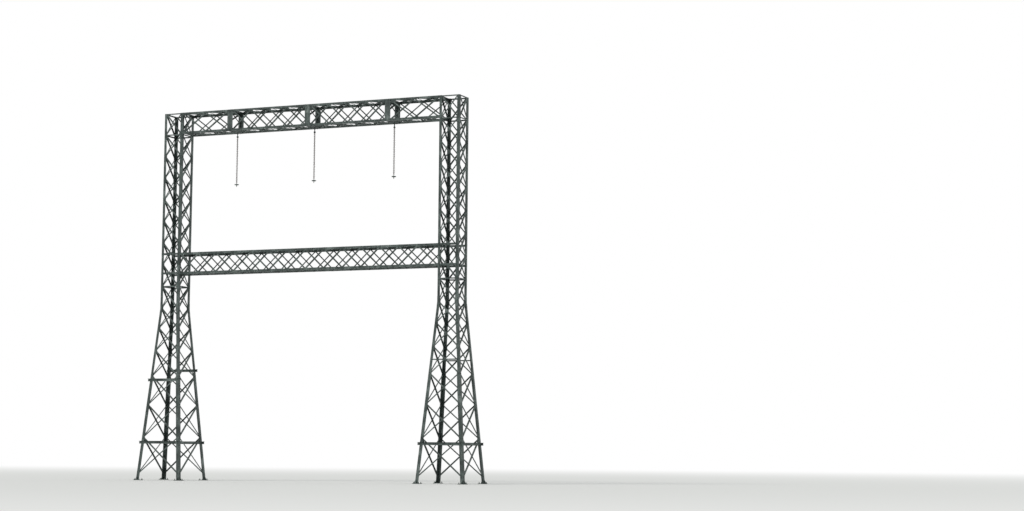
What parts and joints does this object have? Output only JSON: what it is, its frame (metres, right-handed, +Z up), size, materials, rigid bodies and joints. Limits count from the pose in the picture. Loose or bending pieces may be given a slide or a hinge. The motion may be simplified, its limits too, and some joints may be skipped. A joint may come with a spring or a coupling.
{
  "type": "lattice portal transmission pylon",
  "caption": "Lattice steel portal pylon: two tapered four-legged masts carrying a box girder at the top and one at mid height, with suspension insulators.",
  "frame": {"origin": "middle of the underside of the left mast's front left base plate, on the foundation", "axes": "+X along the girders to the right mast, +Y through the portal away from the front, +Z up"},
  "size_m": [20.81, 3.11, 21.31],
  "materials": {
    "steel": "weathered dark zinc coating, matt, with a green-grey tint",
    "plates": "weathered zinc coating on flat plate, matt",
    "insulator": "matt brown-grey sheds"
  },
  "bodies": {
    "root": {"left_mast_lower_legs": "steel", "left_mast_upper_legs": "steel", "left_mast_base_plates": "plates", "left_mast_splices": "plates", "left_mast_belts": "steel", "left_mast_lower_front_lattice": "steel", "left_mast_lower_right_lattice": "steel", "left_mast_lower_rear_lattice": "steel", "left_mast_lower_left_lattice": "steel", "left_mast_shaft_front_lattice": "steel", "left_mast_shaft_right_lattice": "steel", "left_mast_shaft_rear_lattice": "steel", "left_mast_shaft_left_lattice": "steel", "right_mast_lower_legs": "steel", "right_mast_upper_legs": "steel", "right_mast_base_plates": "plates", "right_mast_splices": "plates", "right_mast_belts": "steel", "right_mast_lower_front_lattice": "steel", "right_mast_lower_right_lattice": "steel", "right_mast_lower_rear_lattice": "steel", "right_mast_lower_left_lattice": "steel", "right_mast_shaft_front_lattice": "steel", "right_mast_shaft_right_lattice": "steel", "right_mast_shaft_rear_lattice": "steel", "right_mast_shaft_left_lattice": "steel", "line_girder_chords": "steel", "line_girder_front_lattice": "steel", "line_girder_rear_lattice": "steel", "line_girder_top_lattice": "steel", "line_girder_bottom_lattice": "steel", "bus_girder_chords": "steel", "bus_girder_front_lattice": "steel", "bus_girder_rear_lattice": "steel", "bus_girder_top_lattice": "steel", "bus_girder_bottom_lattice": "steel", "station_plates": "plates", "hanger_beams": "plates", "left_insulator": "insulator", "middle_insulator": "insulator", "right_insulator": "insulator", "line_eyes": "plates"}
  },
  "joints": []
}
